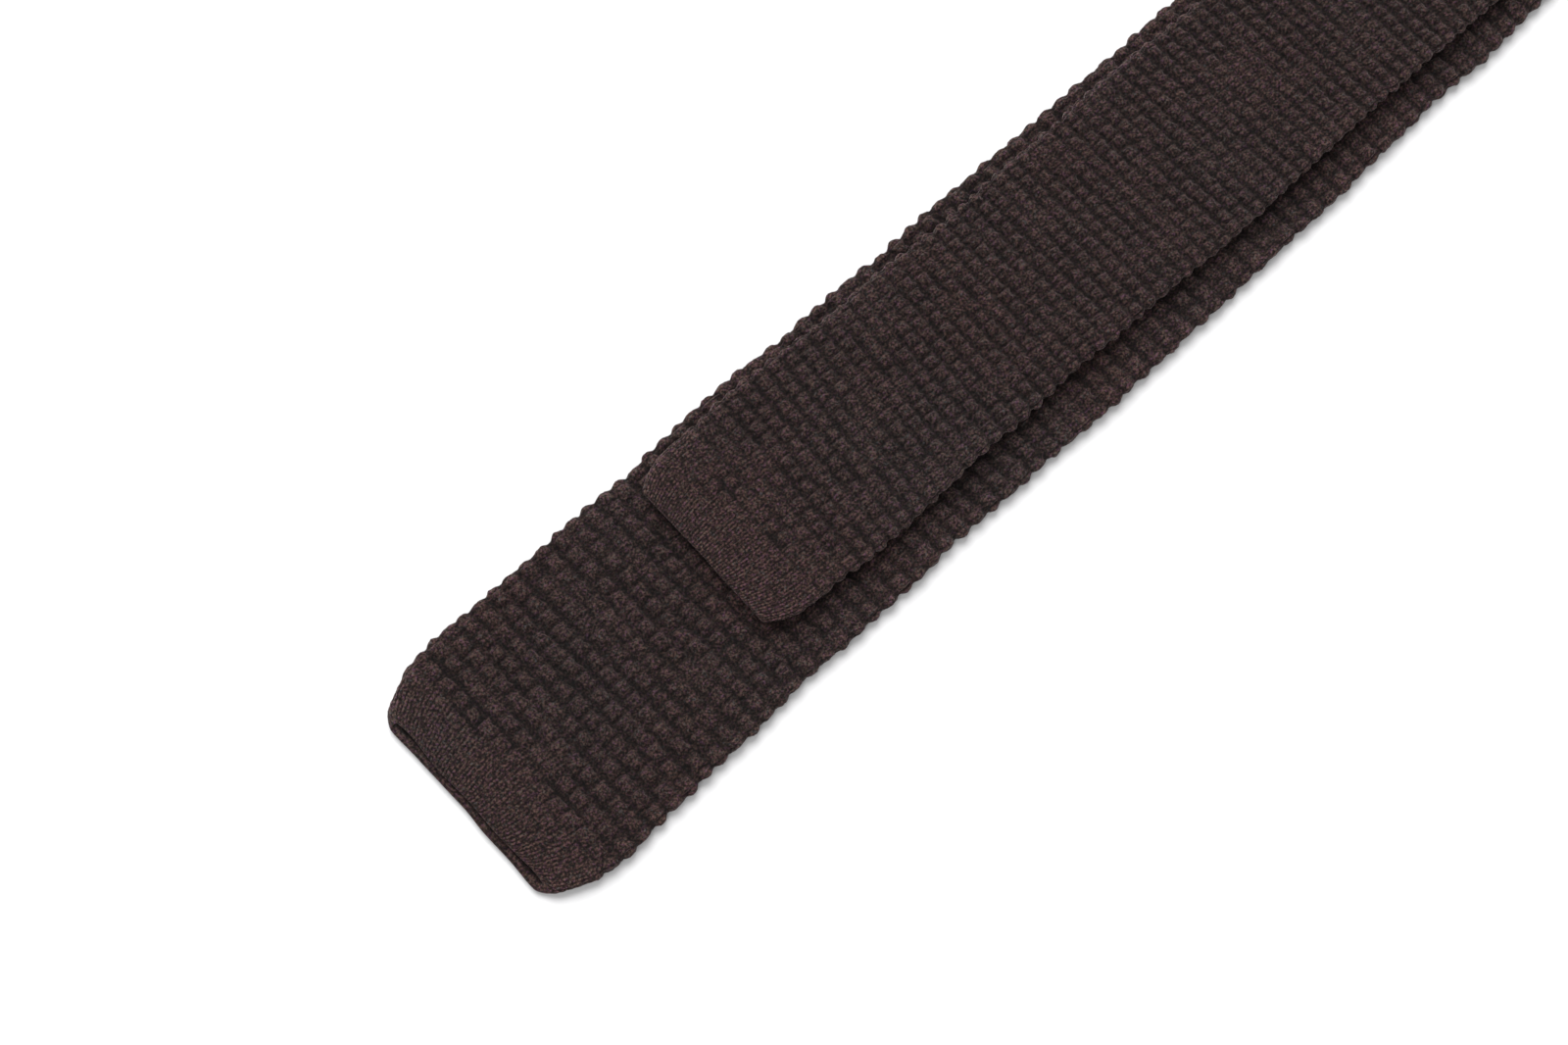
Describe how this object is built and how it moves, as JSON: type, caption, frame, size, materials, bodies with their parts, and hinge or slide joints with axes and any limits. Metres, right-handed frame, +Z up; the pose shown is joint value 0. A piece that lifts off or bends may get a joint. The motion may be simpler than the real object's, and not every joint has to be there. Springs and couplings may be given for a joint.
{
  "type": "necktie",
  "caption": "Square-ended knitted wool necktie folded once at the neck and laid flat, with the narrower tail lying on the wider blade.",
  "frame": {"origin": "centre of the bounding box's bottom face, on the surface that the tie lies on", "axes": "+X along the tie from the blade's end towards the neck fold, +Y across the tie, +Z up"},
  "size_m": [0.7776, 0.061, 0.0112],
  "materials": {
    "wool_knit": "fuzzy matt wool, coarse bird's-eye knit",
    "hem_knit": "fuzzy matt wool, fine plain knit",
    "stay_tape": "matt woven cotton tape",
    "sewing_thread": "dull spun thread"
  },
  "bodies": {
    "blade": {"blade_knit": "wool_knit", "keeper_loop": "hem_knit", "keeper_tack_left": "sewing_thread", "keeper_tack_right": "sewing_thread", "neck_tape_blade_side": "stay_tape", "tape_tack_blade_side": "sewing_thread"},
    "blade_end": {"blade_end_knit": "wool_knit", "blade_hem_facing": "hem_knit", "blade_closing_thread": "sewing_thread"},
    "neck": {"neck_knit": "wool_knit", "neck_tape_middle": "stay_tape"},
    "tail": {"tail_knit": "wool_knit", "neck_tape_tail_side": "stay_tape", "tape_tack_tail_side": "sewing_thread"},
    "tail_end": {"tail_end_knit": "wool_knit", "tail_hem_facing": "hem_knit", "tail_closing_thread": "sewing_thread"}
  },
  "joints": [
    {"name": "neck_fold_blade_side", "type": "hinge", "parent": "blade", "child": "neck", "pos_m": [0.38595, 0, 0.00285], "axis": [0, 1, 0], "range_deg": [0, 90]},
    {"name": "neck_fold_tail_side", "type": "hinge", "parent": "neck", "child": "tail", "pos_m": [0.38595, 0, 0.00835], "axis": [0, 1, 0], "range_deg": [0, 90]},
    {"name": "blade_end_lift", "type": "hinge", "parent": "blade", "child": "blade_end", "pos_m": [-0.33065, 0, 0.0042], "axis": [0, 1, 0], "range_deg": [0, 90]},
    {"name": "tail_end_lift", "type": "hinge", "parent": "tail", "child": "tail_end", "pos_m": [-0.23805, 0.00308, 0.0088], "axis": [0, 1, 0], "range_deg": [0, 90]}
  ],
  "couplings": [
    {"joint": "neck_fold_tail_side", "follows": "neck_fold_blade_side", "ratio": 1}
  ]
}
